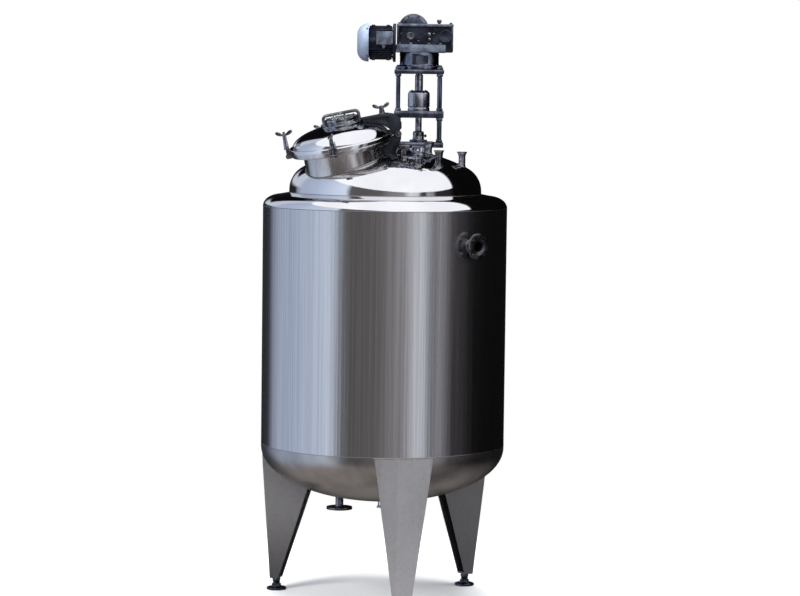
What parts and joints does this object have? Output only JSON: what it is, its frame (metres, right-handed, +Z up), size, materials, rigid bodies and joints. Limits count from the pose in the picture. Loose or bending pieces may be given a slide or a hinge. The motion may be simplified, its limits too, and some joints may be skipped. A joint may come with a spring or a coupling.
{
  "type": "mixing tank",
  "caption": "Insulated stainless mixing tank on three legs, with a tilted swing-bolt manhole, clamp nozzles, a flanged side inlet and a top-mounted geared mixer drive",
  "frame": {"origin": "on the floor, on the tank's own vertical axis, at the middle of the footprint", "axes": "+Z up, the front of the tank faces -Y, the mixer's motor points to -X"},
  "size_m": [1.2188, 1.223, 2.936],
  "materials": {
    "shell_steel": "satin, brushed vertically",
    "polished_steel": "mirror polished",
    "inner_steel": "fine ground",
    "leg_steel": "satin sheet",
    "dark_steel": "turned, dull",
    "dark_casting": "dark enamelled casting",
    "cowl_paint": "satin paint",
    "sight_glass": "clear"
  },
  "bodies": {
    "tank": {"outer_shell": "shell_steel", "top_shoulder": "polished_steel", "outer_bottom_dish": "shell_steel", "inner_vessel": "inner_steel", "inner_bottom_dish": "inner_steel", "top_dish": "polished_steel", "nozzle_right": "polished_steel", "nozzle_front_right": "polished_steel", "nozzle_front": "polished_steel", "nozzle_centre": "polished_steel", "nozzle_back": "polished_steel", "clamp_front": "polished_steel", "clamp_centre": "dark_steel", "cap_back": "dark_steel", "side_nozzle": "dark_steel", "drain_nozzle": "dark_steel", "bottom_outlet": "polished_steel", "leg_front": "leg_steel", "leg_right": "leg_steel", "leg_left": "leg_steel", "foot_front": "dark_steel", "foot_right": "dark_steel", "foot_left": "dark_steel", "manhole_neck": "polished_steel", "hinge_bracket": "dark_casting", "drive_neck": "polished_steel", "drive_base": "dark_steel", "post_front_left": "dark_steel", "post_front_right": "dark_steel", "post_back_right": "dark_steel", "post_back_left": "dark_steel", "seal_housing": "polished_steel", "bearing_plate": "dark_steel", "bearing_housing": "polished_steel", "top_plate": "dark_steel", "lantern": "dark_casting", "gear_case": "dark_casting", "motor_body": "dark_casting", "fan_cowl": "cowl_paint", "terminal_box": "dark_casting"},
    "lid": {"manhole_lid": "polished_steel", "sight_drum": "dark_steel", "sight_glass": "sight_glass", "lid_handle": "dark_steel", "hinge_arm": "dark_steel", "arm_screw": "dark_steel"},
    "bolt_left": {"swing_bolt_left": "dark_steel", "wing_nut_left": "polished_steel"},
    "bolt_back": {"swing_bolt_back": "dark_steel", "wing_nut_back": "polished_steel"},
    "bolt_front": {"swing_bolt_front": "dark_steel", "wing_nut_front": "polished_steel"},
    "mixer": {"mixer_shaft": "polished_steel", "propeller": "polished_steel"}
  },
  "joints": [
    {"name": "lid_hinge", "type": "hinge", "parent": "tank", "child": "lid", "pos_m": [0.05704, -0.16271, 2.33758], "axis": [-0.1707, 0.9808, 0.0939], "range_deg": [0, 104]},
    {"name": "swing_bolt_left", "type": "hinge", "parent": "tank", "child": "bolt_left", "pos_m": [-0.4776, -0.21579, 2.21815], "axis": [0.0686, -0.9911, -0.1143], "range_deg": [0, 100]},
    {"name": "swing_bolt_back", "type": "hinge", "parent": "tank", "child": "bolt_back", "pos_m": [-0.30485, 0.04848, 2.28428], "axis": [-0.924, -0.3175, -0.2132], "range_deg": [0, 100]},
    {"name": "swing_bolt_front", "type": "hinge", "parent": "tank", "child": "bolt_front", "pos_m": [-0.24684, -0.46652, 2.22908], "axis": [0.976, -0.1439, 0.1637], "range_deg": [0, 100]},
    {"name": "mixer_shaft", "type": "hinge", "parent": "tank", "child": "mixer", "pos_m": [0.163, 0.245, 2.5], "axis": [0, 0, 1], "continuous": true}
  ]
}
